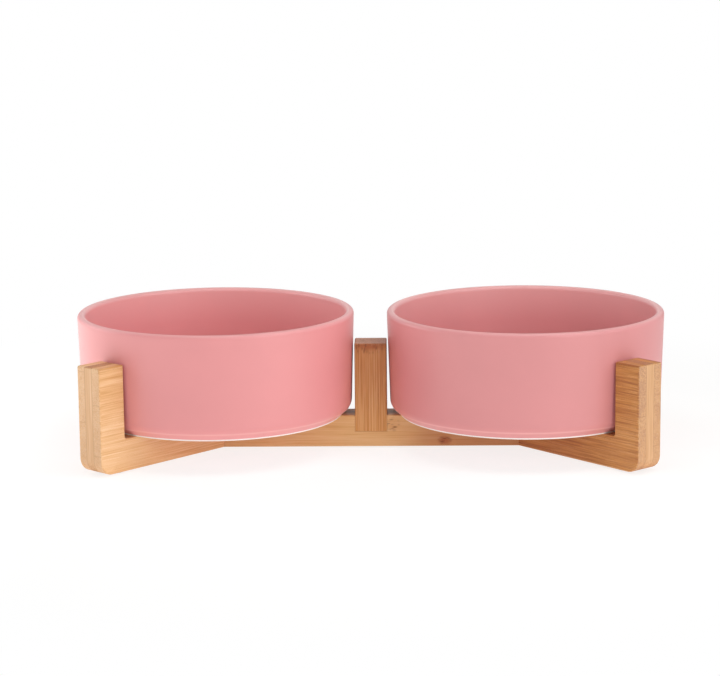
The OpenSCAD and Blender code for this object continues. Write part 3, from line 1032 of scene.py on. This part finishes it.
class PETBOWL_OT_stage(bpy.types.Operator):
    """Make the floor, the world, the lamps and the camera"""
    bl_idname = "petbowl.stage"
    bl_label = "Studio"

    def execute(self, context):
        make_camera()
        make_world(context.scene.studio_look)
        make_floor(context.scene.studio_look)
        make_lamps()
        context.scene.view_settings.view_transform = "Standard"
        return {"FINISHED"}


class PETBOWL_OT_bowls(bpy.types.Operator):
    """Make the two glazed bowls"""
    bl_idname = "petbowl.bowls"
    bl_label = "Bowls"

    def execute(self, context):
        make_bowls(context.scene.bowl_look)
        return {"FINISHED"}


class PETBOWL_OT_rail(bpy.types.Operator):
    """Make the bamboo rail"""
    bl_idname = "petbowl.rail"
    bl_label = "Rail"

    def execute(self, context):
        make_rail(context.scene.stand_look, context.scene.fixing_look)
        return {"FINISHED"}


class PETBOWL_OT_post(bpy.types.Operator):
    """Make the bamboo post between the bowls"""
    bl_idname = "petbowl.post"
    bl_label = "Post"

    def execute(self, context):
        make_post(context.scene.stand_look)
        return {"FINISHED"}


class PETBOWL_OT_legs(bpy.types.Operator):
    """Make the four bamboo legs"""
    bl_idname = "petbowl.legs"
    bl_label = "Legs"

    def execute(self, context):
        make_legs(context.scene.stand_look)
        return {"FINISHED"}


class PETBOWL_OT_dowels(bpy.types.Operator):
    """Give the four dowels their wood"""
    bl_idname = "petbowl.dowels"
    bl_label = "Dowels"

    def execute(self, context):
        wood = beech(context.scene.fixing_look)
        for corner in CORNERS:
            finish_node(corner + "_dowel", wood)
        return {"FINISHED"}


class PETBOWL_OT_screw(bpy.types.Operator):
    """Give the screw under the post its plating"""
    bl_idname = "petbowl.screw"
    bl_label = "Screw"

    def execute(self, context):
        finish_node("post_screw", zinc_plate(context.scene.fixing_look))
        return {"FINISHED"}


class PETBOWL_OT_pads(bpy.types.Operator):
    """Make the four rubber pads"""
    bl_idname = "petbowl.pads"
    bl_label = "Pads"

    def execute(self, context):
        make_pads(context.scene.fixing_look)
        return {"FINISHED"}


class PETBOWL_PT_panel(bpy.types.Panel):
    """Lists what can be made"""
    bl_idname = "PETBOWL_PT_panel"
    bl_label = "Double Pet Bowl"
    bl_space_type = "VIEW_3D"
    bl_region_type = "UI"
    bl_category = "Pet Bowl"

    def draw(self, context):
        for group in ("bowl_look", "stand_look", "fixing_look", "studio_look"):
            look = getattr(context.scene, group)
            box = self.layout.box()
            for name in look.bl_rna.properties.keys():
                if name not in ("rna_type", "name"):
                    box.prop(look, name)
        for step in STEPS:
            self.layout.operator(step.bl_idname)


LOOKS = {"bowl_look": BowlLook, "stand_look": StandLook, "fixing_look": FixingLook, "studio_look": StudioLook}
STEPS = (
    PETBOWL_OT_stage,
    PETBOWL_OT_bowls,
    PETBOWL_OT_rail,
    PETBOWL_OT_post,
    PETBOWL_OT_legs,
    PETBOWL_OT_dowels,
    PETBOWL_OT_screw,
    PETBOWL_OT_pads,
)


def register():
    """Registers the classes and gives the scene its settings."""
    for look in LOOKS.values():
        bpy.utils.register_class(look)
    for name, look in LOOKS.items():
        setattr(bpy.types.Scene, name, PointerProperty(type=look))
    for kind in (*STEPS, PETBOWL_PT_panel):
        bpy.utils.register_class(kind)


def unregister():
    """Takes back what register gave."""
    for kind in (PETBOWL_PT_panel, *reversed(STEPS)):
        bpy.utils.unregister_class(kind)
    for name, look in LOOKS.items():
        delattr(bpy.types.Scene, name)
        bpy.utils.unregister_class(look)


def main():
    """Makes everything in order."""
    register()
    bpy.ops.petbowl.stage()
    bpy.ops.petbowl.bowls()
    bpy.ops.petbowl.rail()
    bpy.ops.petbowl.post()
    bpy.ops.petbowl.legs()
    bpy.ops.petbowl.dowels()
    bpy.ops.petbowl.screw()
    bpy.ops.petbowl.pads()


if __name__ == "__main__":
    main()
